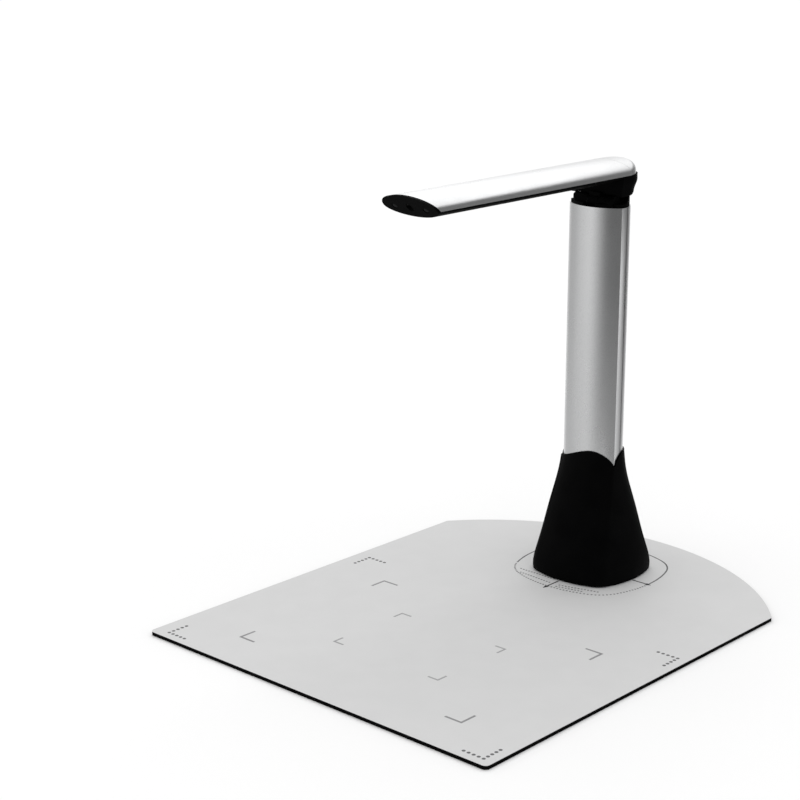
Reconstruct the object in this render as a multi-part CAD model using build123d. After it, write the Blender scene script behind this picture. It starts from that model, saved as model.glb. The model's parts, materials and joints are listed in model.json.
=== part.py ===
from build123d import *
import math
import os

# Desktop document camera: a stand with a folding camera arm, standing on a printed mat.
# Millimetres. X to the user's right, Y away from the user, Z up.
# The origin is on the mat's underside, at the middle of the mat's bounding box.
# The stand's own pieces are drawn about the column's axis and moved to it when written,
# so inside their functions Y counts from that axis and is negative towards the user.

# ---------------------------------------------------------------- driving dimensions
MAT_WIDTH = 318.0
MAT_LENGTH = 405.0
MAT_BACK_RADIUS = 200.5
MAT_CORNER = 3.5
MAT_BACKING = 2.6
MAT_SHEET = 0.4
MAT_TOP = MAT_BACKING + MAT_SHEET

STAND_X = -2.4  # the column's axis on the mat
STAND_Y = 118.0

# Foot: a bulged square at the bottom that flares up into the column's outline.
FOOT_HALF = 41.0
FOOT_SIDE_RADIUS = 75.0
FOOT_CORNER = 15.0
FOOT_BOTTOM = MAT_TOP + 0.8
FOOT_WALL = 2.4
FOOT_RIM_GROW = 0.5
FOOT_RIM_CREASE = 93.5
# points of the skewed front arch between its creases: across, height
FOOT_RIM_ARCH = [(17.0, 102.2), (9.5, 104.3), (0.0, 102.6), (-11.0, 98.6)]
FOOT_RIM_CREST = 102.6
FOOT_RIM_REAR = 104.5
# height and share of the way from the bulged square to the column's outline
FOOT_FLARE = [
    (FOOT_BOTTOM, 0.0),
    (11.0, 0.0),
    (22.0, 0.12),
    (45.0, 0.4),
    (70.0, 0.7),
    (90.0, 0.905),
    (108.0, 1.0),
]
BASE_THICKNESS = 2.5
BASE_TOP = FOOT_BOTTOM + BASE_THICKNESS
BALLAST_HALF = 30.0
BALLAST_TOP = BASE_TOP + 10.0
FOOT_BOSS = 28.0
PAD_AWAY = 32.0

# Column: a shallow front arc, a crease on each side, and a half-round back.
COLUMN_HALF = 24.5
CREASE_Y = -7.3
CROWN_Y = -17.3
BACK_Y = -4.8
CREASE_ROUND = 1.6
COLUMN_WALL = 2.0
SEAM = 0.9  # groove where the two shells meet, at Y = 0
TONGUE = 1.2
COLUMN_TOP = 293.0
BOSS_RADIUS = 3.4
COLUMN_BOSSES = [(-17.0, -7.0), (17.0, -7.0), (-13.8, 9.0), (13.8, 9.0)]
SCREW_RADIUS = 1.5
CLEAR = 0.06

# Hinge between the neck and the arm's bracket.
PIVOT_Y = -7.0
PIVOT_Z = 296.0
PIN_RADIUS = 2.2
PIN_CLEAR = 0.05
LUG_IN = 5.4
LUG_OUT = 12.4
LUG_RADIUS = 5.5
LUG_POCKET = 4.2
HEAD_DEPTH = 1.9
NUT_DEPTH = 3.2
BARREL_HALF = 4.8
BARREL_RADIUS = 5.2
FLANGE_TOP = 295.5
SHROUD_TOP = 300.5
FLANGE_INSET = 0.9
COVER_OUT = 18.4
CABLE_Y = 6.0

# Arm: an oval bar, aluminium above the crease line and black below it.
ARM_HALF = 24.5
ARM_CREASE = 316.5
ARM_RISE = 9.6
ARM_DROP = 6.4
ARM_WALL = 1.6
FACE_Y = -213.2  # where the slanted end face crosses the crease line
FACE_SLOPE = 0.92  # forward for each millimetre up
FACE_LEAN = math.hypot(1.0, FACE_SLOPE)
BEZEL = 2.4
ARM_REAR = 25.0
ARM_REAR_EDGE = 5.0
BRACKET_LIP = 2.2  # how far the bracket stands out behind the arm
CAP_Y = 4.5  # the rear cap starts here
RAIL_IN = 11.5
RAIL_OUT = 17.5
RAIL_BOTTOM = 317.0
RAIL_SCREW_X = 14.5
RAIL_HOLE = 1.35
COVER_SCREWS_Y = [-62.0, -124.0, -186.0]
BRACKET_SCREWS_Y = [-14.0, -31.0]
BRACKET_FRONT = -6.7
BRACKET_BOTTOM = 301.0
BRACKET_WALL = 2.2
BRACKET_HALF = 23.0
BRACKET_REAR = 22.1
# height and share of the way from the floor's outline to the rim's
BRACKET_FLARE = [
    (BRACKET_BOTTOM, 0.0),
    (305.0, 0.38),
    (308.5, 0.7),
    (311.0, 0.94),
    (313.0, 1.0),
    (ARM_CREASE, 1.0),
]
LENS_Y = FACE_Y - 0.5
LENS_END = 318.8
LENS_WELL = 2.6
POST_AWAY = 11.0  # from the lens back to the sensor board's two posts
BOARD = 0.8
BOARD_Z = 323.1
LAMP_X = 14.0
POST_X = 4.5

# Electronics in the foot.
MAIN_BOARD_Z = 20.0
MAIN_BOARD_TOP = MAIN_BOARD_Z + 1.6
PILLAR_X = [-13.0, 13.0]
PILLAR_Y = 25.0
USB_FRONT = 31.6
USB_REAR = 37.9
USB_CENTRE_Z = MAIN_BOARD_TOP + 1.65


# ---------------------------------------------------------------- shared shapes
def face(*edges):
    return Face(Wire(edges))


def block(x, y, z):
    """A box from its low and high limits on each axis."""
    size = [high - low for low, high in (x, y, z)]
    middle = [(high + low) / 2 for low, high in (x, y, z)]
    return Pos(*middle) * Box(*size)


def rod(radius, z0, z1, x=0.0, y=0.0):
    """A cylinder along Z."""
    return Pos(x, y, (z0 + z1) / 2) * Cylinder(radius, z1 - z0)


def cross_rod(radius, x0, x1, y=PIVOT_Y, z=PIVOT_Z):
    """A cylinder along X, by default on the hinge line."""
    return Pos((x0 + x1) / 2, y, z) * Rot(0, 90, 0) * Cylinder(radius, x1 - x0)


def total(shapes):
    shapes = list(shapes)
    return sum(shapes[1:], shapes[0])


def bulged_square(half, side_radius, corner):
    """Start and middle points of the front side and of the corner to its right."""
    reach = side_radius - half
    inner = side_radius - corner
    centre = (math.sqrt(2 * inner**2 - reach**2) - reach) / 2
    tangent = (side_radius * centre / inner, reach - side_radius * (centre + reach) / inner)
    diagonal = centre + corner / math.sqrt(2)
    side = [(-tangent[0], tangent[1]), (0.0, -half)]
    turn = [tangent, (diagonal, -diagonal)]
    return side + turn


def square_points(half, side_radius, corner):
    """Arc points of the whole bulged square, anticlockwise from the front-left corner."""
    quarter = bulged_square(half, side_radius, corner)
    points = []
    for _ in range(4):
        points += quarter
        quarter = [(-y, x) for x, y in quarter]
    return points


def column_points(grow):
    """Arc points of the grown column outline, in the same order as square_points."""
    radius = COLUMN_HALF + grow

    def back(angle):
        turn = math.radians(angle)
        return (radius * math.cos(turn), BACK_Y + radius * math.sin(turn))

    crease = [(radius - 2.2, CREASE_Y - grow - 1.3), (radius - 0.35, CREASE_Y - 0.35)]
    right = [(radius, CREASE_Y + 1.6), back(14), back(38), back(50)]
    rear = [back(62), back(90), back(118), back(130)]
    left = [back(142), back(166), (-radius, CREASE_Y + 1.6), (-crease[1][0], crease[1][1])]
    front = [(-crease[0][0], crease[0][1]), (0.0, CROWN_Y - grow)]
    return front + crease + right + rear + left


def foot_section(height, share, inset=0.0, rim=FOOT_RIM_GROW):
    """One level of the foot: a blend of the bulged square and the column's outline."""
    low = square_points(FOOT_HALF - inset, FOOT_SIDE_RADIUS - inset, FOOT_CORNER - inset)
    high = column_points(rim)
    blend = [(a[0] + share * (b[0] - a[0]), a[1] + share * (b[1] - a[1])) for a, b in zip(low, high)]
    blend.append(blend[0])
    arcs = [ThreePointArc(*blend[i : i + 3]) for i in range(0, len(blend) - 1, 2)]
    return Pos(0, 0, height) * face(*arcs)


def column_outline(grow=0.0):
    front = ThreePointArc((-COLUMN_HALF, CREASE_Y), (0, CROWN_Y), (COLUMN_HALF, CREASE_Y))
    right = Line((COLUMN_HALF, CREASE_Y), (COLUMN_HALF, BACK_Y))
    back = ThreePointArc((COLUMN_HALF, BACK_Y), (0, BACK_Y + COLUMN_HALF), (-COLUMN_HALF, BACK_Y))
    left = Line((-COLUMN_HALF, BACK_Y), (-COLUMN_HALF, CREASE_Y))
    outline = face(front, right, back, left)
    creases = [corner for corner in outline.vertices() if abs(corner.Y - CREASE_Y) < 0.1]
    outline = outline.fillet_2d(CREASE_ROUND, creases)
    return offset(outline, grow) if grow else outline


def column_prism(grow, z0, z1):
    return Pos(0, 0, z0) * extrude(column_outline(grow), z1 - z0, dir=(0, 0, 1))


def oval_half(half, height, top):
    """Upper or lower half of the arm's section, standing on the crease line."""
    start = 0 if top else 180
    arc = EllipticalCenterArc((0, ARM_CREASE), half, height, start_angle=start, arc_size=180)
    return Plane.XZ * face(arc, Line(arc @ 1, arc @ 0))


def oval_bar(half, height, top, y0, y1):
    return Pos(0, y0, 0) * extrude(oval_half(half, height, top), y1 - y0, dir=(0, 1, 0))


def behind_face(part, depth):
    """Cut the arm off along a plane parallel to its slanted end, depth behind it."""
    plane = Plane(
        origin=(0, FACE_Y + depth * FACE_LEAN, ARM_CREASE),
        x_dir=(1, 0, 0),
        z_dir=(0, 1, FACE_SLOPE),
    )
    return split(part, plane, keep=Keep.TOP)


def plan_outline(half, rear, front):
    """Seen from above: a straight front and a half-round rear end."""
    start = rear - half
    return face(
        Line((-half, front), (half, front)),
        Line((half, front), (half, start)),
        ThreePointArc((half, start), (0, rear), (-half, start)),
        Line((-half, start), (-half, front)),
    )


def plan_prism(half, rear):
    """Everything within the arm's outline as seen from above."""
    return Pos(0, 0, 300) * extrude(plan_outline(half, rear, -260), 40, dir=(0, 0, 1))


# ---------------------------------------------------------------- mat
def mat_slab(z0, z1):
    half = MAT_WIDTH / 2
    front = -MAT_LENGTH / 2
    centre = MAT_LENGTH / 2 - MAT_BACK_RADIUS
    side_end = centre + math.sqrt(MAT_BACK_RADIUS**2 - half**2)
    outline = face(
        Line((-half, front), (half, front)),
        Line((half, front), (half, side_end)),
        ThreePointArc((half, side_end), (0, MAT_LENGTH / 2), (-half, side_end)),
        Line((-half, side_end), (-half, front)),
    )
    outline = outline.fillet_2d(MAT_CORNER, outline.vertices())
    return Pos(0, 0, z0) * extrude(outline, z1 - z0, dir=(0, 0, 1))


# ---------------------------------------------------------------- foot
def foot_bosses(radius, z0, z1):
    sides = (-FOOT_BOSS, FOOT_BOSS)
    return total(rod(radius, z0, z1, x, y) for x in sides for y in sides)


def rim_cuts():
    """What is trimmed off above the scalloped rim: an arch in front, a rising sweep behind."""
    ceiling = 130.0
    reach = 60.0
    creases = [(side * COLUMN_HALF, FOOT_RIM_CREASE) for side in (1, -1)]
    arc = Spline(creases[0], *FOOT_RIM_ARCH, creases[1])
    arch = face(
        arc,
        Line(arc @ 1, (-reach, FOOT_RIM_CREASE)),
        Line((-reach, FOOT_RIM_CREASE), (-reach, ceiling)),
        Line((-reach, ceiling), (reach, ceiling)),
        Line((reach, ceiling), (reach, FOOT_RIM_CREASE)),
        Line((reach, FOOT_RIM_CREASE), arc @ 0),
    )
    front = Pos(0, CREASE_Y, 0) * extrude(Plane.XZ * arch, reach, dir=(0, -1, 0))
    crest = CREASE_Y + 16.0
    middle = (CREASE_Y + 5.4, FOOT_RIM_CREASE + 7.2)
    sweep = face(
        ThreePointArc((CREASE_Y, FOOT_RIM_CREASE), middle, (crest, FOOT_RIM_CREST)),
        Line((crest, FOOT_RIM_CREST), (reach, FOOT_RIM_REAR)),
        Line((reach, FOOT_RIM_REAR), (reach, ceiling)),
        Line((reach, ceiling), (CREASE_Y, ceiling)),
        Line((CREASE_Y, ceiling), (CREASE_Y, FOOT_RIM_CREASE)),
    )
    rear = extrude(Plane.YZ * sweep, reach, dir=(1, 0, 0), both=True)
    return front + rear


def foot_shell():
    outer = loft([foot_section(height, share) for height, share in FOOT_FLARE])
    inner_levels = [(height, share) for height, share in FOOT_FLARE if height < 100]
    inner = loft([foot_section(height, share, FOOT_WALL, -0.5) for height, share in inner_levels])
    shell = outer - inner
    shell += (foot_bosses(3.5, BASE_TOP, 20.0)) & outer
    shell -= column_prism(0.08, BASE_TOP, 130.0)
    shell -= foot_bosses(SCREW_RADIUS + CLEAR, 0.0, 17.0)
    shell -= rim_cuts()
    shell -= usb_block(0.35, 10.0)
    return shell


def foot_base():
    plate = extrude(face(*square_arcs(FOOT_HALF - FOOT_WALL - 0.3)), BASE_THICKNESS, dir=(0, 0, 1))
    plate = Pos(0, 0, FOOT_BOTTOM) * plate
    plate -= foot_bosses(SCREW_RADIUS + CLEAR, 0.0, 10.0)
    plate -= foot_bosses(3.0, 0.0, FOOT_BOTTOM + 1.0)
    plate -= column_screw_rods(SCREW_RADIUS + CLEAR, 0.0, 10.0)
    plate -= column_screw_rods(3.0, 0.0, FOOT_BOTTOM + 1.4)
    plate -= pad_bars(0.1, MAT_TOP, FOOT_BOTTOM + 0.8)
    return plate


def square_arcs(half):
    points = square_points(half, FOOT_SIDE_RADIUS - FOOT_HALF + half, FOOT_CORNER - FOOT_HALF + half)
    points.append(points[0])
    return [ThreePointArc(*points[i : i + 3]) for i in range(0, len(points) - 1, 2)]


def foot_ballast():
    slab = Pos(0, 0, BASE_TOP) * extrude(
        face(*square_arcs(BALLAST_HALF + 2.0)), BALLAST_TOP - BASE_TOP, dir=(0, 0, 1)
    )
    slab &= block((-BALLAST_HALF, BALLAST_HALF), (-BALLAST_HALF, BALLAST_HALF), (0, 40))
    slab = chamfer(slab.edges().group_by(Axis.Z)[-1], 0.8)
    slab -= column_screw_rods(SCREW_RADIUS + CLEAR, 0.0, 40.0)
    slab -= foot_bosses(3.8, 0.0, 40.0)
    slab -= total(rod(1.06, 12.0, 40.0, x, PILLAR_Y) for x in PILLAR_X)
    return slab


def pad_bars(grow, z0, z1):
    """Four rounded rubber bars, one along each side of the base."""
    bar = SlotOverall(30.0 + 2 * grow, 6.0 + 2 * grow)
    bars = []
    for quarter in range(4):
        bars.append(Rot(0, 0, 90 * quarter) * Pos(0, -PAD_AWAY, z0) * extrude(bar, z1 - z0, dir=(0, 0, 1)))
    return total(bars)


def screw(radius, head_radius, head, length, z_head, x, y, up=True):
    """A cylinder-headed screw with a cross recess; z_head is the outer face of its head."""
    shank = rod(radius, 0, length, x, y)
    cap = rod(head_radius, 0, head, x, y)
    slots = [block((x - a, x + a), (y - b, y + b), (-1, head * 0.5)) for a, b in ((0.35, 1.5), (1.5, 0.35))]
    body = shank + cap - total(slots)
    if not up:
        body = mirror(body, Plane.XY)
    return Pos(0, 0, z_head) * body


def base_screws():
    return Compound(
        children=[
            screw(SCREW_RADIUS, 2.8, 1.0, 11.5, FOOT_BOTTOM, x, y)
            for x in (-FOOT_BOSS, FOOT_BOSS)
            for y in (-FOOT_BOSS, FOOT_BOSS)
        ]
    )


# ---------------------------------------------------------------- column
def column_screw_rods(radius, z0, z1):
    return total(rod(radius, z0, z1, x, y) for x, y in COLUMN_BOSSES)


def column_shell(front):
    """One of the two extrusions, with its two screw ports."""
    z0, z1 = BALLAST_TOP, COLUMN_TOP
    tube = column_prism(0, z0, z1) - column_prism(-COLUMN_WALL, z0 - 1, z1 + 1)
    ports = [rod(BOSS_RADIUS, z0, z1, x, y) for x, y in COLUMN_BOSSES if (y < 0) == front]
    tube += total(ports) & column_prism(-COLUMN_WALL / 2, z0, z1)
    far = 60.0
    keep = block((-far, far), (-far, -SEAM / 2) if front else (SEAM / 2, far), (0, 400))
    shell = tube & keep
    if front:
        band = block((-far, far), (-3.2, 3.2), (0, 400))
        inside = column_prism(-COLUMN_WALL - TONGUE, z0 - 1, z1 + 1)
        tongue = column_prism(-COLUMN_WALL - 0.1, z0, z1) - inside
        root = column_prism(-COLUMN_WALL / 2, z0, z1) - inside
        shell += tongue & band
        shell += root & band & keep
    else:
        shell -= block((-8, 8), (10, 40), (BALLAST_TOP + 6, BALLAST_TOP + 13))
    return shell - column_screw_rods(SCREW_RADIUS + CLEAR, 0, 400)


def column_screws():
    return Compound(
        children=[screw(SCREW_RADIUS, 2.8, 1.4, 24.0, FOOT_BOTTOM, x, y) for x, y in COLUMN_BOSSES]
    )


def column_ribbon():
    """Flat cable: along the inside of the column, then out of its back to the main board."""
    run = block((-5, 5), (CABLE_Y, CABLE_Y + 0.5), (25.6, 298.5))
    foot = block((-5, 5), (CABLE_Y, 29.0), (25.6, 26.1))
    return run + foot


# ---------------------------------------------------------------- electronics in the foot
def main_board():
    board = block((-17.5, 17.5), (21.5, 33.4), (MAIN_BOARD_Z, MAIN_BOARD_TOP))
    return board - total(rod(1.1, 0, 40, x, PILLAR_Y) for x in PILLAR_X)


def board_standoffs():
    pillars = [rod(2.2, BALLAST_TOP, MAIN_BOARD_Z, x, PILLAR_Y) for x in PILLAR_X]
    return Compound(children=[pillar - rod(1.06, 0, 40, x, PILLAR_Y) for pillar, x in zip(pillars, PILLAR_X)])


def board_screws():
    return Compound(
        children=[screw(1.0, 1.9, 0.8, 6.5, MAIN_BOARD_TOP + 0.8, x, PILLAR_Y, up=False) for x in PILLAR_X]
    )


def board_components():
    z = MAIN_BOARD_TOP
    connector = block((-6, 6), (26.2, 29.4), (z, z + 4.0))
    processor = block((7, 10.6), (28.0, 31.6), (z, z + 1.0))
    memory = block((-16.5, -9.5), (28.6, 32.2), (z, z + 0.9))
    capacitor = rod(1.6, z, z + 3.2, 14.5, 30.5)
    return Compound(children=[connector, processor, memory, capacitor])


def usb_block(grow, tail):
    """The socket's outer shape, from the board out through the rear wall."""
    half_x = 4.5 + grow
    half_z = 1.6 + grow
    along = (USB_FRONT - grow, USB_REAR + tail)
    body = block((-half_x, half_x), along, (USB_CENTRE_Z - half_z, USB_CENTRE_Z + half_z))
    edges = body.edges().filter_by(Axis.Y)
    return fillet(edges, half_z - 0.1)


def usb_socket():
    shell = usb_block(0.0, 0.0)
    mouth = block((-4.2, 4.2), (33.0, 41.0), (USB_CENTRE_Z - 1.3, USB_CENTRE_Z + 1.3))
    mouth = fillet(mouth.edges().filter_by(Axis.Y), 1.2)
    return shell - mouth


def usb_tongue():
    return block((-3.3, 3.3), (33.0, 36.9), (USB_CENTRE_Z - 0.35, USB_CENTRE_Z + 0.35))


# ---------------------------------------------------------------- neck and hinge
def lug_profile(radius, x0, x1):
    stem = block((x0, x1), (PIVOT_Y - radius, PIVOT_Y + radius), (COLUMN_TOP, PIVOT_Z))
    return cross_rod(radius, x0, x1) + stem


def neck():
    """Black cap on the column: flange, locating rim, two hinge lugs and a rear collar."""
    body = column_prism(-FLANGE_INSET, COLUMN_TOP, FLANGE_TOP)
    rim = column_prism(-COLUMN_WALL - TONGUE - 0.15, 288.0, COLUMN_TOP)
    rim -= column_prism(-COLUMN_WALL - TONGUE - 2.0, 280.0, 300.0)
    rim -= column_screw_rods(BOSS_RADIUS + 0.15, 280.0, COLUMN_TOP)
    body += rim
    collar = column_prism(-FLANGE_INSET, COLUMN_TOP, SHROUD_TOP) - column_prism(-2.9, FLANGE_TOP - 1, 310.0)
    rise = face(
        Line((-30, FLANGE_TOP), (-4, FLANGE_TOP)),
        ThreePointArc((-4, FLANGE_TOP), (1.2, FLANGE_TOP + 1.6), (4, SHROUD_TOP)),
        Line((4, SHROUD_TOP), (4, 310)),
        Line((4, 310), (-30, 310)),
        Line((-30, 310), (-30, FLANGE_TOP)),
    )
    collar -= extrude(Plane.YZ * rise, 40, dir=(1, 0, 0), both=True)
    body += collar
    for side in (-1, 1):
        low, high = sorted((side * LUG_IN, side * LUG_OUT))
        body += lug_profile(LUG_RADIUS, low, high)
    slot_back = PIVOT_Y + BARREL_RADIUS + 0.5
    body -= block((-LUG_IN, LUG_IN), (-30, slot_back), (280.0, 310.0))
    body -= block((-7, 7), (CABLE_Y - 2.5, CABLE_Y + 4), (280, 310))
    body -= cross_rod(PIN_RADIUS + PIN_CLEAR, -20, 20)
    body -= cross_rod(LUG_POCKET, LUG_OUT - HEAD_DEPTH, 20)
    body -= cross_rod(LUG_POCKET, -20, NUT_DEPTH - LUG_OUT)
    body -= column_screw_rods(SCREW_RADIUS + CLEAR, 280, 310)
    body -= column_screw_rods(2.9, FLANGE_TOP - 1.3, 310)
    return body


def neck_screws():
    return Compound(
        children=[
            screw(SCREW_RADIUS, 2.8, 1.2, 12.0, FLANGE_TOP - 0.1, x, y, up=False)
            for x, y in COLUMN_BOSSES
        ]
    )


def hinge_covers():
    """Two caps that carry the round of the hinge outwards over the neck's front screws."""
    covers = []
    for side in (-1, 1):
        low, high = sorted((side * (LUG_OUT + 0.1), side * COVER_OUT))
        cover = cross_rod(LUG_RADIUS, low, high)
        cover += block((low, high), (PIVOT_Y - LUG_RADIUS, PIVOT_Y + LUG_RADIUS), (FLANGE_TOP, PIVOT_Z))
        covers.append(cover & column_prism(-FLANGE_INSET, FLANGE_TOP, SHROUD_TOP + 2.0))
    return Compound(children=covers)


def hinge_pin():
    pin = cross_rod(PIN_RADIUS, 0.1 - LUG_OUT, LUG_OUT - 0.2)
    pin += cross_rod(3.8, LUG_OUT - HEAD_DEPTH + 0.05, LUG_OUT - 0.2)
    return pin - block((LUG_OUT - 0.9, LUG_OUT), (PIVOT_Y - 5, PIVOT_Y + 5), (PIVOT_Z - 0.5, PIVOT_Z + 0.5))


def hinge_nut():
    middle = NUT_DEPTH - LUG_OUT - 2.05
    place = Pos(middle, PIVOT_Y, PIVOT_Z) * Rot(0, 90, 0)
    hexagon = place * extrude(RegularPolygon(3.9, 6), 0.95, both=True)
    return hexagon - cross_rod(PIN_RADIUS + PIN_CLEAR, -20, 0)


def ring(inner, outer, x0, x1):
    return cross_rod(outer, x0, x1) - cross_rod(inner, x0 - 1, x1 + 1)


def disc_springs():
    start = NUT_DEPTH - LUG_OUT - 0.5
    return Compound(children=[ring(PIN_RADIUS + 0.1, 3.8, x, x + 0.45) for x in (start, start - 0.5)])


def friction_washers():
    low = BARREL_HALF + 0.05
    high = LUG_IN - 0.05
    return Compound(children=[ring(PIN_RADIUS + 0.1, 4.8, *sorted((s * low, s * high))) for s in (-1, 1)])


# ---------------------------------------------------------------- arm
def bracket_level(height, share):
    """Outer outline of the bracket, a share of the way from its floor to its rim."""
    half = BRACKET_HALF + share * (ARM_HALF - BRACKET_HALF)
    rear = BRACKET_REAR + share * (ARM_REAR + BRACKET_LIP - BRACKET_REAR)
    return Pos(0, 0, height) * plan_outline(half, rear, BRACKET_FRONT)


def arm_bracket():
    """Black casting under the arm's rear: hinge barrel, tub and a tongue that holds the arm shell."""
    outer = loft([bracket_level(height, share) for height, share in BRACKET_FLARE])
    front = BRACKET_FRONT + BRACKET_WALL
    floor = BRACKET_BOTTOM + BRACKET_WALL
    low_in = plan_outline(BRACKET_HALF - BRACKET_WALL, BRACKET_REAR - BRACKET_WALL, front)
    high_in = plan_outline(ARM_HALF - BRACKET_WALL, ARM_REAR - BRACKET_WALL, front)
    tub = outer - loft([Pos(0, 0, floor) * low_in, Pos(0, 0, ARM_CREASE + 0.5) * high_in], ruled=True)
    web = block((-BARREL_HALF, BARREL_HALF), (PIVOT_Y - 2.6, PIVOT_Y + BARREL_RADIUS), (PIVOT_Z, floor))
    barrel = cross_rod(BARREL_RADIUS, -BARREL_HALF, BARREL_HALF)
    tongue = block((-19, 19), (-38.0, front), (315.0, RAIL_BOTTOM - 0.1))
    tongue -= block((-7, 7), (-30, front - 3), (300, 330))
    body = tub + web + barrel + tongue
    for side in (-1, 1):
        low_x, high_x = sorted((side * (LUG_IN - 0.3), side * (COVER_OUT + 0.4)))
        body -= cross_rod(LUG_RADIUS + 0.4, low_x, high_x)
    body -= cross_rod(PIN_RADIUS + PIN_CLEAR, -20, 20)
    body -= block((-7, 7), (CABLE_Y - 3.5, CABLE_Y + 5), (290, floor + 1))
    body -= rail_screw_rods(RAIL_HOLE, BRACKET_SCREWS_Y, 300, 330)
    return body


def rail_screw_rods(radius, places, z0, z1):
    return total(rod(radius, z0, z1, x, y) for x in (-RAIL_SCREW_X, RAIL_SCREW_X) for y in places)


def bracket_screws():
    return Compound(
        children=[
            screw(1.25, 2.3, 1.0, 6.8, 314.0, x, y)
            for x in (-RAIL_SCREW_X, RAIL_SCREW_X)
            for y in BRACKET_SCREWS_Y
        ]
    )


def arm_shell():
    outer = oval_bar(ARM_HALF, ARM_RISE, True, -250, CAP_Y)
    inner = oval_bar(ARM_HALF - ARM_WALL - 0.2, ARM_RISE - ARM_WALL, True, -260, CAP_Y + 10)
    rails = block((-RAIL_OUT, -RAIL_IN), (-190, CAP_Y - 4), (RAIL_BOTTOM, 330))
    rails += mirror(rails, Plane.YZ)
    shell = (outer - inner) + (rails & outer)
    shell -= rail_screw_rods(RAIL_HOLE, BRACKET_SCREWS_Y + COVER_SCREWS_Y, 300, 321.4)
    shell &= plan_prism(ARM_HALF, ARM_REAR)
    return behind_face(shell, BEZEL)


def arm_rear_cap():
    bar = oval_bar(ARM_HALF, ARM_RISE, True, CAP_Y + 0.15, ARM_REAR + 10)
    cap = bar & plan_prism(ARM_HALF, ARM_REAR)
    behind = [edge for edge in cap.edges() if edge.center().Y > CAP_Y + 1]
    cap = fillet([edge for edge in behind if edge.center().Z > ARM_CREASE + 1], ARM_REAR_EDGE)
    inner = oval_bar(ARM_HALF - ARM_WALL - 0.2, ARM_RISE - ARM_WALL, True, CAP_Y - 5, ARM_REAR + 10)
    return cap - (inner & plan_prism(ARM_HALF - 2.4, ARM_REAR - 4.4))


def under_cover():
    outer = oval_bar(ARM_HALF, ARM_DROP, False, -250, BRACKET_FRONT - 0.2)
    inner = oval_bar(ARM_HALF - ARM_WALL, ARM_DROP - ARM_WALL, False, -260, 0)
    cover = outer - inner
    cover -= block((-30, 30), (-260, 0), (ARM_CREASE - 0.12, 330))
    cover += rail_screw_rods(3.4, COVER_SCREWS_Y, 312.6, RAIL_BOTTOM - 0.1)
    cover -= rail_screw_rods(2.6, COVER_SCREWS_Y, 300, 313.6)
    cover -= rail_screw_rods(RAIL_HOLE, COVER_SCREWS_Y, 300, 330)
    for x in (-POST_X, POST_X):
        cover += rod(1.3, 311.0, BOARD_Z, x, LENS_Y + POST_AWAY)
        cover += rod(0.7, 320.0, BOARD_Z + BOARD + 0.2, x, LENS_Y + POST_AWAY)
    return behind_face(cover, BEZEL)


def cover_screws():
    return Compound(
        children=[
            screw(1.25, 2.4, 1.2, 8.4, 312.4, x, y)
            for x in (-RAIL_SCREW_X, RAIL_SCREW_X)
            for y in COVER_SCREWS_Y
        ]
    )


# ---------------------------------------------------------------- camera head
def face_rod(radius, x, depth0, depth1):
    """A cylinder square to the slanted face, between two depths behind it."""
    frame = Plane(origin=(x, FACE_Y, ARM_CREASE), x_dir=(1, 0, 0), z_dir=(0, 1, FACE_SLOPE))
    return frame * Pos(0, 0, (depth0 + depth1) / 2) * Cylinder(radius, depth1 - depth0)


def head_bezel():
    """Black end piece over the slanted face, with the lens well and two lamp holes."""
    bar = oval_bar(ARM_HALF, ARM_RISE, True, -250, -150) + oval_bar(ARM_HALF, ARM_DROP, False, -250, -150)
    plate = behind_face(bar, 0.0) - behind_face(bar, BEZEL - 0.1)
    inner = oval_bar(22.5, 7.8, True, -250, -150) + oval_bar(22.7, 4.2, False, -250, -150)
    spigot = behind_face(inner, BEZEL - 0.2) - behind_face(inner, BEZEL + 1.4)
    bezel = plate + spigot
    bezel -= block((-3.1, 3.1), (LENS_Y - 3.1, LENS_Y + 20), (321.4, 340))
    bezel -= block((-9, 9), (FACE_Y - 6, LENS_Y + 20), (BOARD_Z - 0.2, 340)) & behind_face(inner, BEZEL)
    bezel -= rod(LENS_WELL, 300, 340, 0, LENS_Y)
    for x in (-LAMP_X, LAMP_X):
        bezel -= face_rod(2.5, x, -5, 12)
    return bezel


def lens_holder():
    holder = block((-3.0, 3.0), (LENS_Y - 3.0, LENS_Y + 3.0), (321.5, BOARD_Z))
    holder -= block((-2.7, 2.7), (LENS_Y - 2.7, LENS_Y + 2.7), (322.3, 330))
    return holder - rod(2.05, 300, 330, 0, LENS_Y)


def lens_barrel():
    barrel = rod(2.0, LENS_END, 322.2, 0, LENS_Y)
    barrel -= rod(1.5, LENS_END - 1, LENS_END + 1.0, 0, LENS_Y)
    return barrel - rod(0.8, 300, 330, 0, LENS_Y)


def lens_glass():
    ball = Pos(0, LENS_Y, LENS_END + 3.4) * Sphere(3.2)
    return ball & rod(1.45, LENS_END, LENS_END + 0.98, 0, LENS_Y)


def sensor_board():
    board = block((-6, 6), (LENS_Y - 1.6, LENS_Y + 14), (BOARD_Z, BOARD_Z + BOARD))
    board += block((-3, 3), (LENS_Y - 3.0, LENS_Y), (BOARD_Z, BOARD_Z + BOARD))
    return board - total(rod(0.76, 300, 330, x, LENS_Y + POST_AWAY) for x in (-POST_X, POST_X))


def image_sensor():
    return block((-2.5, 2.5), (LENS_Y - 2.5, LENS_Y + 2.5), (BOARD_Z - 0.7, BOARD_Z))


def lamp_boards():
    inner = oval_bar(22.2, 7.6, True, -250, -150) + oval_bar(22.2, 4.0, False, -250, -150)
    boards = behind_face(inner, 4.6) - behind_face(inner, 5.6)
    return boards - block((-8, 8), (-260, -150), (300, 340))


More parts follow.
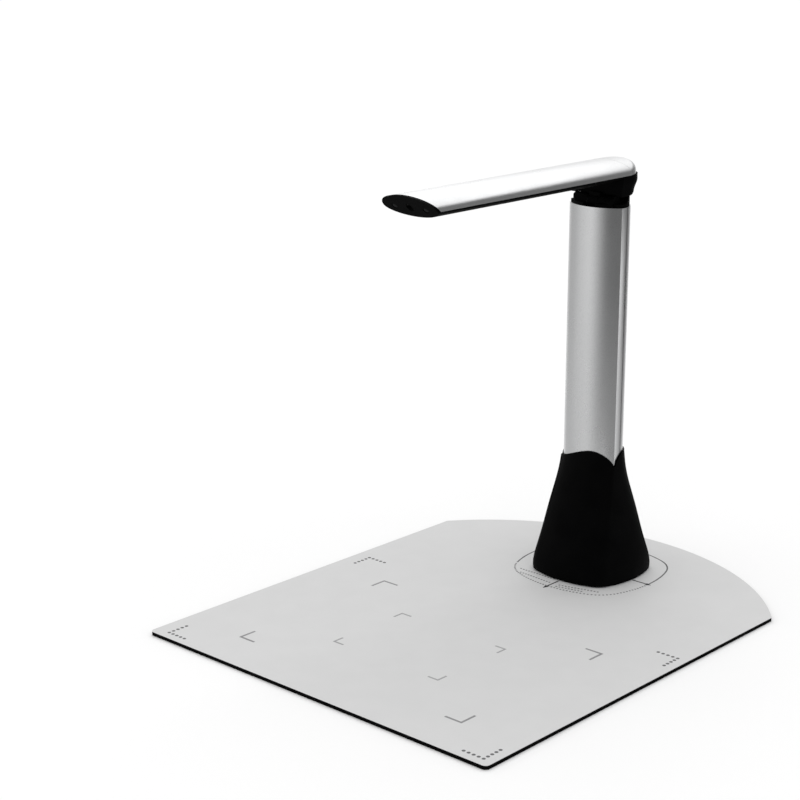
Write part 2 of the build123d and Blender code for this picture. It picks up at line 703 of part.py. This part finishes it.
def lamp_lenses():
    lenses = []
    for x in (-LAMP_X, LAMP_X):
        dome = face_rod(2.4, x, 0.2, 4.5)
        lenses.append(fillet(dome.edges().sort_by(Axis.Z)[0], 0.8))
    return Compound(children=lenses)


def arm_ribbon():
    """Flat cable: from the hinge up into the arm, then forward to the sensor board."""
    rise = block((-5, 5), (CABLE_Y, CABLE_Y + 0.5), (305.5, 319.0))
    run = block((-5, 5), (LENS_Y + 12.5, CABLE_Y + 0.5), (318.5, 319.0))
    end = block((-5, 5), (LENS_Y + 12.5, LENS_Y + 13.0), (318.5, BOARD_Z))
    return rise + run + end


# ---------------------------------------------------------------- write every sub-part
MAT_PARTS = {
    "mat_backing": mat_slab(0, MAT_BACKING),
    "mat_sheet": mat_slab(MAT_BACKING, MAT_TOP),
}
STAND_PARTS = {
    "foot_shell": foot_shell,
    "foot_base": foot_base,
    "foot_ballast": foot_ballast,
    "foot_pads": lambda: pad_bars(0.0, MAT_TOP, FOOT_BOTTOM + 0.8),
    "base_screws": base_screws,
    "column_front": lambda: column_shell(True),
    "column_rear": lambda: column_shell(False),
    "column_screws": column_screws,
    "column_ribbon": column_ribbon,
    "main_board": main_board,
    "board_standoffs": board_standoffs,
    "board_screws": board_screws,
    "board_components": board_components,
    "usb_socket": usb_socket,
    "usb_tongue": usb_tongue,
    "neck": neck,
    "neck_screws": neck_screws,
    "hinge_covers": hinge_covers,
    "hinge_pin": hinge_pin,
    "hinge_nut": hinge_nut,
    "disc_springs": disc_springs,
    "friction_washers": friction_washers,
    "arm_bracket": arm_bracket,
    "bracket_screws": bracket_screws,
    "arm_shell": arm_shell,
    "arm_rear_cap": arm_rear_cap,
    "under_cover": under_cover,
    "cover_screws": cover_screws,
    "head_bezel": head_bezel,
    "lens_holder": lens_holder,
    "lens_barrel": lens_barrel,
    "lens_glass": lens_glass,
    "sensor_board": sensor_board,
    "image_sensor": image_sensor,
    "lamp_boards": lamp_boards,
    "lamp_lenses": lamp_lenses,
    "arm_ribbon": arm_ribbon,
}

os.makedirs("parts", exist_ok=True)
for name, shape in MAT_PARTS.items():
    export_step(shape, f"parts/{name}.step")
for name, build in STAND_PARTS.items():
    export_step(Pos(STAND_X, STAND_Y, 0) * build(), f"parts/{name}.step")
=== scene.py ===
import json
import math

import bmesh
import bpy
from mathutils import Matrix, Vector


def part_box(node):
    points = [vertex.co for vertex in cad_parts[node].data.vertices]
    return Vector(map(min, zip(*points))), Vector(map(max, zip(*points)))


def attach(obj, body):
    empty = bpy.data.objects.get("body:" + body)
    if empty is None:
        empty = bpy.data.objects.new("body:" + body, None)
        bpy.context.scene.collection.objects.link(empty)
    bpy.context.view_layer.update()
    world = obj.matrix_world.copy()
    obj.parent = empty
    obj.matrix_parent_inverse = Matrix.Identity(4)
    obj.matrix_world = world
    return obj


# A document camera on its printed mat. Metres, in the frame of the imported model:
# X to the right, Y away from the user, Z up, with the origin under the middle of the mat.
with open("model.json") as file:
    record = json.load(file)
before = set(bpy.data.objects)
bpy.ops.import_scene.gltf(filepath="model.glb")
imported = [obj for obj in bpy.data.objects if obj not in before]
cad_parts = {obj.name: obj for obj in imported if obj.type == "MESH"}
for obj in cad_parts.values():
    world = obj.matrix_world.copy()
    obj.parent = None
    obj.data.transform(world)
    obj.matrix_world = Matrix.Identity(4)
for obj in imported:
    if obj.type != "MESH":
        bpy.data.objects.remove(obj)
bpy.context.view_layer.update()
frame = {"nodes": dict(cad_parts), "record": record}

MM = 0.001
MICRON = 0.000001

# ---------------------------------------------------------------- camera
CAMERA_PLACE = Vector((0.8294, -1.0092, 0.5293))
CAMERA_TURN = 42.62  # degrees from +Y towards -X
CAMERA_DIP = 15.61  # degrees below level
CAMERA_LENS = 84.33  # millimetres
CAMERA_SENSOR = 36.0  # millimetres

scene = bpy.context.scene
camera_data = bpy.data.cameras.new("camera")
camera_data.lens = CAMERA_LENS
camera_data.sensor_width = CAMERA_SENSOR
camera_data.clip_start = 0.01
camera_data.clip_end = 60.0
camera = bpy.data.objects.new("camera", camera_data)
camera.location = CAMERA_PLACE
camera.rotation_euler = (math.radians(90.0 - CAMERA_DIP), 0.0, math.radians(CAMERA_TURN))
scene.collection.objects.link(camera)
scene.camera = camera


# ---------------------------------------------------------------- material helpers
class Maker:
    """Short calls for building one node material."""

    def __init__(self, name):
        self.material = bpy.data.materials.new(name)
        self.material.use_nodes = True
        self.nodes = self.material.node_tree.nodes
        self.links = self.material.node_tree.links
        self.nodes.clear()
        self.shader = self.nodes.new("ShaderNodeBsdfPrincipled")
        self.output = self.nodes.new("ShaderNodeOutputMaterial")
        self.links.new(self.shader.outputs["BSDF"], self.output.inputs["Surface"])
        self.place = self.nodes.new("ShaderNodeTexCoord").outputs["Object"]

    def set(self, **values):
        """Constants on the shader's own sockets, whose names have _ for each space."""
        for key, value in values.items():
            self.shader.inputs[key.replace("_", " ")].default_value = value

    def stretched(self, scale):
        """Object coordinates scaled by a different amount on each axis."""
        mapping = self.nodes.new("ShaderNodeMapping")
        mapping.inputs["Scale"].default_value = scale
        self.links.new(self.place, mapping.inputs["Vector"])
        return mapping.outputs["Vector"]

    def noise(self, scale, detail=3.0, rough=0.5, vector=None):
        node = self.nodes.new("ShaderNodeTexNoise")
        node.inputs["Scale"].default_value = scale
        node.inputs["Detail"].default_value = detail
        node.inputs["Roughness"].default_value = rough
        self.links.new(vector or self.place, node.inputs["Vector"])
        return node.outputs["Fac"]

    def cells(self, scale):
        """Distance from the middle of the nearest cell of a scatter."""
        node = self.nodes.new("ShaderNodeTexVoronoi")
        node.inputs["Scale"].default_value = scale
        self.links.new(self.place, node.inputs["Vector"])
        return node.outputs["Distance"]

    def span(self, value, low, high, start, end):
        """Map start..end of a texture to low..high."""
        node = self.nodes.new("ShaderNodeMapRange")
        node.inputs["From Min"].default_value = start
        node.inputs["From Max"].default_value = end
        node.inputs["To Min"].default_value = low
        node.inputs["To Max"].default_value = high
        self.links.new(value, node.inputs["Value"])
        return node.outputs["Result"]

    def mixed(self, factor, first, second):
        """A blend of two colours, each given as a tuple or as another node's output."""
        node = self.nodes.new("ShaderNodeMix")
        node.data_type = "RGBA"
        for socket, colour in (("A", first), ("B", second)):
            target = [s for s in node.inputs if s.name == socket and s.type == "RGBA"][0]
            if isinstance(colour, tuple):
                target.default_value = (*colour, 1.0)
            else:
                self.links.new(colour, target)
        self.links.new(factor, node.inputs["Factor"])
        return [s for s in node.outputs if s.type == "RGBA"][0]

    def colour(self, source):
        self.links.new(source, self.shader.inputs["Base Color"])

    def roughness(self, source):
        self.links.new(source, self.shader.inputs["Roughness"])

    def bump(self, height, distance, strength, under=None):
        """Raise the surface by a texture, over another bump where one is given."""
        node = self.nodes.new("ShaderNodeBump")
        node.inputs["Distance"].default_value = distance
        node.inputs["Strength"].default_value = strength
        self.links.new(height, node.inputs["Height"])
        if under is not None:
            self.links.new(under, node.inputs["Normal"])
        self.links.new(node.outputs["Normal"], self.shader.inputs["Normal"])
        return node.outputs["Normal"]


# ---------------------------------------------------------------- materials
# The scale of a texture is in features to the metre.
BLAST_SCALE = 2600.0
SPARKLE_SCALE = 2100.0
DRAW_STRETCH = 60.0  # how many times longer a draw line is than it is wide
CLOUD_SCALE = 26.0
ROUGH_SPREAD = 0.08  # roughness varies by this much to each side

MATERIALS = {}


def grey(level, cool=0.0):
    """A grey whose green and blue rise in even steps of cool."""
    return level, level + cool, level + 2 * cool


def anodised(name, along):
    """Bead-blasted, anodised aluminium with the faint draw lines of an extrusion."""
    maker = Maker(name)
    maker.set(Metallic=1.0)
    scale = [BLAST_SCALE] * 3
    scale["XYZ".index(along)] /= DRAW_STRETCH
    lines = maker.noise(1.0, 2.0, 0.6, maker.stretched(tuple(scale)))
    grain = maker.noise(BLAST_SCALE, 2.0, 0.65)
    sparkle = maker.cells(SPARKLE_SCALE)
    cloud = maker.noise(CLOUD_SCALE, 4.0, 0.55)
    shade = maker.mixed(maker.span(grain, 0.0, 1.0, 0.3, 0.7), grey(0.62, 0.005), grey(0.80, 0.005))
    maker.colour(maker.mixed(maker.span(sparkle, 0.0, 1.0, 0.1, 0.9), grey(0.84, 0.005), shade))
    maker.roughness(maker.span(cloud, 0.26, 0.33, 0.3, 0.7))
    draw_lines = maker.bump(lines, 10 * MICRON, 0.5)
    maker.bump(grain, 30 * MICRON, 0.6, draw_lines)
    MATERIALS[name] = maker.material


def moulded(name, dark, light, rough, grain=1800.0, depth=40 * MICRON, specular=0.2):
    """Moulded plastic with a fine spark-eroded texture."""
    maker = Maker(name)
    maker.set(Specular_IOR_Level=specular)
    fine = maker.noise(grain, 3.0, 0.6)
    cloud = maker.noise(45.0, 3.0, 0.5)
    maker.colour(maker.mixed(maker.span(cloud, 0.0, 1.0, 0.35, 0.65), dark, light))
    maker.roughness(maker.span(fine, rough - ROUGH_SPREAD, rough + ROUGH_SPREAD, 0.3, 0.7))
    maker.bump(fine, depth, 0.6)
    MATERIALS[name] = maker.material


def metal(name, dark, light, rough, grain=1500.0):
    """Turned or stamped metal with a fine surface grain."""
    maker = Maker(name)
    maker.set(Metallic=1.0)
    fine = maker.noise(grain, 3.0, 0.6)
    patches = maker.noise(300.0)
    maker.colour(maker.mixed(maker.span(fine, 0.0, 1.0, 0.3, 0.7), dark, light))
    maker.roughness(maker.span(patches, rough - ROUGH_SPREAD, rough + ROUGH_SPREAD, 0.0, 1.0))
    maker.bump(fine, 10 * MICRON, 0.4)
    MATERIALS[name] = maker.material


def coated_glass(name):
    maker = Maker(name)
    maker.set(Base_Color=(0.05, 0.06, 0.12, 1.0), Roughness=0.04, IOR=1.6)
    maker.set(Coat_Weight=1.0, Coat_Roughness=0.02)
    MATERIALS[name] = maker.material


anodised("column_aluminium", along="Z")
anodised("arm_aluminium", along="Y")

# The black parts have next to no gloss, so that they stay black in a white room.
moulded("black_satin", (0.0012, 0.0012, 0.0013), (0.0020, 0.0020, 0.0021), 0.55, 1500.0, 60 * MICRON, 0.02)
moulded("black_matte", grey(0.0014), grey(0.0022), 0.6, 1500.0, 50 * MICRON, 0.02)
moulded("rubber", grey(0.004), grey(0.006), 0.85, 900.0, 60 * MICRON, 0.05)
moulded("lamp", (0.004, 0.004, 0.0042), (0.006, 0.006, 0.0065), 0.35, 900.0, 20 * MICRON, 0.03)

# The mat and the inks printed on it.
moulded("mat_foam", grey(0.002), grey(0.0035), 0.9, 1400.0, 100 * MICRON, 0.04)
moulded("mat_print", grey(0.664), grey(0.676), 0.7, 1100.0, 50 * MICRON, 0.15)
INKS = {
    "ink": ((0.035, 0.035, 0.036), (0.05, 0.05, 0.052)),
    "ink_mid": ((0.13, 0.13, 0.132), (0.17, 0.17, 0.173)),
    "ink_light": ((0.27, 0.27, 0.274), (0.31, 0.31, 0.314)),
    "ink_pale": ((0.34, 0.34, 0.344), (0.38, 0.38, 0.384)),
}
for ink_name, (ink_dark, ink_light) in INKS.items():
    moulded(ink_name, ink_dark, ink_light, 0.7, 1500.0, 10 * MICRON, 0.1)

# Fasteners and electronics.
metal("steel", (0.42, 0.42, 0.43), (0.56, 0.56, 0.57), 0.35)
metal("black_steel", grey(0.008), grey(0.012), 0.45)
metal("brass", (0.62, 0.43, 0.16), (0.72, 0.52, 0.22), 0.3)
metal("bright_metal", (0.62, 0.62, 0.63), (0.72, 0.72, 0.73), 0.22)
metal("ballast", grey(0.09), grey(0.14), 0.6, 700.0)
moulded("board", (0.01, 0.10, 0.04), (0.015, 0.14, 0.055), 0.35, 900.0, 20 * MICRON, 0.5)
moulded("chip", (0.02, 0.02, 0.022), (0.03, 0.03, 0.033), 0.5)
moulded("ribbon", (0.62, 0.61, 0.58), (0.7, 0.69, 0.66), 0.45, 1200.0, 30 * MICRON, 0.4)
moulded("nylon", grey(0.03), grey(0.045), 0.4)
coated_glass("lens")

slot_of = {part["node"]: part["material_slot"] for part in frame["record"]["subparts"]}
for name, item in frame["nodes"].items():
    look = slot_of[name]
    if look == "aluminium":
        look = "column_aluminium" if name.startswith("column") else "arm_aluminium"
    item.data.materials.clear()
    item.data.materials.append(MATERIALS[look])

# ---------------------------------------------------------------- printed marks on the mat
MAT_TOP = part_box("mat_sheet")[1].z
INK_LIFT = 0.05 * MM
INK_SINK = 0.05 * MM


def add_print(name, mesh_maker, ink):
    """One printed piece that lies on the mat and rides with it."""
    mesh = bpy.data.meshes.new(name)
    build = bmesh.new()
    mesh_maker(build)
    bmesh.ops.recalc_face_normals(build, faces=build.faces)
    build.to_mesh(mesh)
    build.free()
    mesh.materials.append(MATERIALS[ink])
    item = bpy.data.objects.new(name, mesh)
    scene.collection.objects.link(item)
    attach(item, "mat")


def prism(build, outline):
    """A thin slab of ink whose top stands just proud of the sheet."""
    low = [build.verts.new((x, y, MAT_TOP - INK_SINK)) for x, y in outline]
    high = [build.verts.new((x, y, MAT_TOP + INK_LIFT)) for x, y in outline]
    build.faces.new(high)
    build.faces.new(low[::-1])
    for i in range(len(outline)):
        j = (i + 1) % len(outline)
        build.faces.new((low[i], low[j], high[j], high[i]))


def dot(build, x, y, radius, sides):
    turn = 2 * math.pi / sides
    prism(build, [(x + radius * math.cos(turn * i), y + radius * math.sin(turn * i)) for i in range(sides)])


# Nested page corners about one middle: an A4 sheet in dots, and two smaller sheets in lines.
PAGE_X = 2.6 * MM
PAGE_Y = -90.5 * MM
OUTER_HALF = (148.5 * MM, 105.0 * MM)
MIDDLE_HALF = (104.6 * MM, 75.4 * MM)
MIDDLE_LEG = 14.0 * MM
MIDDLE_WIDTH = 1.8 * MM
INNER_HALF = (49.4 * MM, 35.9 * MM)
INNER_LEG = 9.0 * MM
INNER_WIDTH = 1.5 * MM
DOT_PITCH = 4.1 * MM
DOT_RADIUS = 1.3 * MM
DOT_SIDES = 16
DOTS_PER_LEG = 5


def corners(half):
    """Each corner's place, and its side of the middle on each axis."""
    half_x, half_y = half
    for sx in (-1, 1):
        for sy in (-1, 1):
            yield PAGE_X + sx * half_x, PAGE_Y + sy * half_y, sx, sy


def dotted_corners(build):
    for x, y, sx, sy in corners(OUTER_HALF):
        for i in range(DOTS_PER_LEG):
            dot(build, x - sx * i * DOT_PITCH, y, DOT_RADIUS, DOT_SIDES)
            if i:
                dot(build, x, y - sy * i * DOT_PITCH, DOT_RADIUS, DOT_SIDES)


def solid_corners(half, leg, width):
    def make(build):
        w = width / 2
        for x, y, sx, sy in corners(half):
            outline = [
                (x + sx * w, y + sy * w),
                (x - sx * leg, y + sy * w),
                (x - sx * leg, y - sy * w),
                (x - sx * w, y - sy * w),
                (x - sx * w, y - sy * leg),
                (x + sx * w, y - sy * leg),
            ]
            prism(build, outline if sx * sy > 0 else outline[::-1])

    return make


add_print("marks_outer", dotted_corners, "ink_mid")
add_print("marks_middle", solid_corners(MIDDLE_HALF, MIDDLE_LEG, MIDDLE_WIDTH), "ink_light")
add_print("marks_inner", solid_corners(INNER_HALF, INNER_LEG, INNER_WIDTH), "ink_pale")

# Round the foot: its bulged square drawn larger, as a line from PLACE_FROM to PLACE_TO
# degrees and as dots over the rest, with two arrows and some rows of dots.
STAND_X = -2.4 * MM
STAND_Y = 118.0 * MM
PLACE_HALF = 55.4 * MM
PLACE_SIDE_RADIUS = 89.4 * MM
PLACE_CORNER_RADIUS = 29.4 * MM
PLACE_CORNER_AWAY = 30.9 * MM
PLACE_SIDE_ENDS = 33.6
PLACE_FROM = -3
PLACE_TO = 212
PLACE_DOTS_FROM = PLACE_TO + 3
PLACE_DOTS_TO = 360 + PLACE_FROM - 2
PLACE_WIDTH = 1.2 * MM
PLACE_STEPS = 120
SMALL_DOT = 0.8 * MM
SMALL_PITCH = 2.7 * MM
SMALL_SIDES = 10

# The ends of each row, in millimetres.
DOT_ROWS = [
    ((-41.0, 77.9), (-8.0, 77.3)),
    ((-36.0, 71.4), (-6.0, 69.4)),
    ((3.5, 69.8), (34.0, 78.2)),
    ((3.5, 66.0), (24.0, 70.8)),
]

# Tail and tip.
ARROWS = [
    ((STAND_X, 76.4 * MM), (STAND_X, 56.6 * MM)),
    ((38.0 * MM, 117.0 * MM), (56.0 * MM, 117.0 * MM)),
]
ARROW_SHAFT = 0.65 * MM
ARROW_HEAD = 1.7 * MM
ARROW_HEAD_LENGTH = 5.0 * MM


def place_radius(degrees):
    """Distance from the stand's axis to the bulged square, at an angle from +X."""
    turn = abs((degrees + 45) % 90 - 45)
    if turn < PLACE_SIDE_ENDS:
        away, radius, lean = PLACE_HALF - PLACE_SIDE_RADIUS, PLACE_SIDE_RADIUS, math.radians(turn)
    else:
        away, radius, lean = PLACE_CORNER_AWAY, PLACE_CORNER_RADIUS, math.radians(45 - turn)
    return away * math.cos(lean) + math.sqrt(radius**2 - (away * math.sin(lean)) ** 2)


def place_point(degrees, grow=0.0):
    reach = place_radius(degrees) + grow
    turn = math.radians(degrees)
    return STAND_X + reach * math.cos(turn), STAND_Y + reach * math.sin(turn)


def place_line(build):
    """One closed ribbon along the solid part of the outline."""
    rings = []
    for i in range(PLACE_STEPS + 1):
        angle = PLACE_FROM + (PLACE_TO - PLACE_FROM) * i / PLACE_STEPS
        inner = place_point(angle, -PLACE_WIDTH / 2)
        outer = place_point(angle, PLACE_WIDTH / 2)
        low, high = MAT_TOP - INK_SINK, MAT_TOP + INK_LIFT
        section = [(*inner, low), (*outer, low), (*outer, high), (*inner, high)]
        rings.append([build.verts.new(corner) for corner in section])
    for first, second in zip(rings, rings[1:]):
        for i in range(4):
            j = (i + 1) % 4
            build.faces.new((first[i], first[j], second[j], second[i]))
    build.faces.new(rings[0])
    build.faces.new(rings[-1][::-1])


def place_dots(build):
    sweep = PLACE_DOTS_TO - PLACE_DOTS_FROM
    count = round(math.radians(sweep) * PLACE_HALF / SMALL_PITCH)
    for i in range(count + 1):
        dot(build, *place_point(PLACE_DOTS_FROM + sweep * i / count), SMALL_DOT, SMALL_SIDES)


def dot_rows(build):
    for (x0, y0), (x1, y1) in DOT_ROWS:
        count = round(math.hypot(x1 - x0, y1 - y0) * MM / SMALL_PITCH)
        for i in range(count + 1):
            x = x0 + (x1 - x0) * i / count
            y = y0 + (y1 - y0) * i / count
            dot(build, x * MM, y * MM, SMALL_DOT, SMALL_SIDES)


def arrows(build):
    """Printed arrows, each as one outline."""
    for start, end in ARROWS:
        tail, tip = Vector(start), Vector(end)
        along = (tip - tail).normalized()
        side = Vector((-along.y, along.x))
        neck = tip - along * ARROW_HEAD_LENGTH
        left = [tail + side * ARROW_SHAFT, neck + side * ARROW_SHAFT, neck + side * ARROW_HEAD]
        right = [neck - side * ARROW_HEAD, neck - side * ARROW_SHAFT, tail - side * ARROW_SHAFT]
        prism(build, [tuple(point) for point in (left + [tip] + right)[::-1]])


add_print("place_line", place_line, "ink_mid")
add_print("place_dots", place_dots, "ink_mid")
add_print("place_rows", dot_rows, "ink_mid")
add_print("place_arrows", arrows, "ink")

# ---------------------------------------------------------------- floor and surroundings
FLOOR_Z = -0.2 * MM
FLOOR_HALF = 30.0
BACKDROP_RADIUS = 25.0

# A light tent that only reflections see. Its wall holds softboxes on a dark ground.
TENT_RADIUS = 0.45
TENT_EYE = 0.1  # radius of the hole in the middle of its floor
TENT_FLOOR = 0.8 * MM
TENT_WALL = 0.9
TENT_TOP = 1.3
TENT_RINGS = 40
TENT_SIDES = 120
TENT_DARK = 0.125
TENT_LOW_GLOW = 0.16
TENT_TOP_GLOW = 0.6

# Softboxes: brightness, first and last angle and the softness of those sides, bottom and top and the
# softness of those ends. Angles are in degrees from the front, round by the right.
UNDER = -1.0  # the bottom of a softbox that reaches below the floor
FRONT_LEFT = (0.68, -62, -2, 33, UNDER, 0.9, 0.2)
LEFT = (0.36, 232, 300, 22, UNDER, 0.9, 0.2)
REAR_RIGHT = (0.95, 112, 154, 6, UNDER, 0.212, 0.02)
REAR_LEFT = (0.70, 182, 236, 6, UNDER, 0.38, 0.03)
RIGHT = (0.06, 60, 200, 30, 0.25, 0.9, 0.08)
REAR_SLANTED = (1.25, 183, 262, 20, 0.40, 0.95, 0.04)
SLANT = 105  # degrees that the slanted softbox leans by for each metre up
SLANT_Z = 0.53  # the height at which its angles are as written


def link_mesh(name, build):
    """Turn a bmesh into an object of the scene."""
    mesh = bpy.data.meshes.new(name)
    build.to_mesh(mesh)
    build.free()
    item = bpy.data.objects.new(name, mesh)
    scene.collection.objects.link(item)
    return item


def shown_only_to(item, camera=False, reflections=False):
    item.visible_camera = camera
    item.visible_glossy = reflections
    item.visible_diffuse = False
    item.visible_transmission = False
    item.visible_volume_scatter = False
    item.visible_shadow = False


def glowing(name):
    """A material that only glows, and the shader that sets how much."""
    maker = Maker(name)
    maker.nodes.remove(maker.shader)
    glow = maker.nodes.new("ShaderNodeEmission")
    maker.links.new(glow.outputs["Emission"], maker.output.inputs["Surface"])
    maker.material.cycles.emission_sampling = "NONE"
    return maker, glow


def floor():
    build = bmesh.new()
    signs = ((-1, -1), (1, -1), (1, 1), (-1, 1))
    build.faces.new([build.verts.new((sx * FLOOR_HALF, sy * FLOOR_HALF, FLOOR_Z)) for sx, sy in signs])
    item = link_mesh("floor", build)
    maker = Maker("floor")
    maker.set(Roughness=0.9, Specular_IOR_Level=0.0)
    maker.colour(maker.mixed(maker.noise(3.0, 2.0), grey(0.97), grey(0.99)))
    item.data.materials.append(maker.material)
    return item


def backdrop():
    """A dome that the camera sees beyond the floor, as white as the floor."""
    build = bmesh.new()
    bmesh.ops.create_icosphere(build, subdivisions=5, radius=BACKDROP_RADIUS)
    item = link_mesh("backdrop", build)
    shown_only_to(item, camera=True)
    item.data.materials.append(glowing("backdrop")[0].material)
    return item


def ease(value, edge, soft):
    """0 below an edge, 1 above it, smooth in between."""
    share = min(max((value - edge + soft) / (2 * soft), 0.0), 1.0)
    return share * share * (3 - 2 * share)


def between(value, low, high, soft):
    return ease(value, low, soft) * (1 - ease(value, high, soft))


def softbox(box, turn, z):
    """What one softbox adds at a place on the wall."""
    strength, first, last, side_soft, bottom, top, end_soft = box
    return strength * between(turn, first, last, side_soft) * between(z, bottom, top, end_soft)


def tent_brightness(turn, z):
    """Brightness of the wall at an angle of 0 to 360 degrees and a height. Some softboxes fade low down."""
    front_turn = turn - 360 if turn > 250 else turn
    low = 1 - ease(z, 0.08, 0.07)
    glow = TENT_DARK + TENT_LOW_GLOW * low
    glow += softbox(FRONT_LEFT, front_turn, z) * (1 - 0.4 * low)
    glow += softbox(LEFT, turn, z) * (1 - 0.3 * low)
    glow += softbox(REAR_RIGHT, turn, z) * (0.5 + 0.5 * ease(z, 0.12, 0.09))
    glow += softbox(REAR_LEFT, turn, z)
    glow += softbox(RIGHT, turn, z)
    glow += softbox(REAR_SLANTED, turn + SLANT * (z - SLANT_Z), z)
    return glow + TENT_TOP_GLOW * ease(z, 1.1, 0.15)


def tent_rings():
    """Radius and height of each ring, from the middle of the floor out and up the wall to the top."""
    yield TENT_EYE, TENT_FLOOR
    yield TENT_RADIUS / 2, TENT_FLOOR
    yield TENT_RADIUS, TENT_FLOOR
    for i in range(1, TENT_RINGS + 1):
        z = TENT_FLOOR + (TENT_TOP - TENT_FLOOR) * i / TENT_RINGS
        over = max(0.0, (z - TENT_WALL) / (TENT_TOP - TENT_WALL))
        yield TENT_RADIUS * math.sqrt(max(1.0 - over**2, 0.0001)), z


def light_tent():
    build = bmesh.new()
    brightness = build.verts.layers.float.new("brightness")
    rows = []
    for radius, z in tent_rings():
        row = []
        for i in range(TENT_SIDES):
            turn = 2 * math.pi * i / TENT_SIDES
            corner = build.verts.new((radius * math.sin(turn), -radius * math.cos(turn), z))
            corner[brightness] = tent_brightness(math.degrees(turn), z)
            row.append(corner)
        rows.append(row)
    for low, high in zip(rows, rows[1:]):
        for i in range(TENT_SIDES):
            j = (i + 1) % TENT_SIDES
            build.faces.new((low[i], low[j], high[j], high[i]))
    build.faces.new(rows[-1])
    item = link_mesh("light_tent", build)
    shown_only_to(item, reflections=True)
    maker, glow = glowing("light_tent")
    wall = maker.nodes.new("ShaderNodeAttribute")
    wall.attribute_name = "brightness"
    maker.links.new(wall.outputs["Fac"], glow.inputs["Strength"])
    item.data.materials.append(maker.material)
    return item


floor()
light_tent()
backdrop()

# ---------------------------------------------------------------- light
SKY_STRENGTH = 0.82
KEY_FROM = Vector((-0.45, 0.7, 1.15))
KEY_STRENGTH = 0.85
KEY_ANGLE = 50  # degrees across, for soft shadows

world = bpy.data.worlds.new("studio")
world.use_nodes = True
world.node_tree.nodes["Background"].inputs["Color"].default_value = (1.0, 1.0, 1.0, 1.0)
world.node_tree.nodes["Background"].inputs["Strength"].default_value = SKY_STRENGTH
world.cycles_visibility.glossy = False
scene.world = world

key_data = bpy.data.lights.new("key", "SUN")
key_data.energy = KEY_STRENGTH
key_data.angle = math.radians(KEY_ANGLE)
key = bpy.data.objects.new("key", key_data)
key.location = KEY_FROM
key.rotation_euler = (-KEY_FROM).to_track_quat("-Z", "Y").to_euler()
key.visible_glossy = False
scene.collection.objects.link(key)

scene.view_settings.view_transform = "Standard"
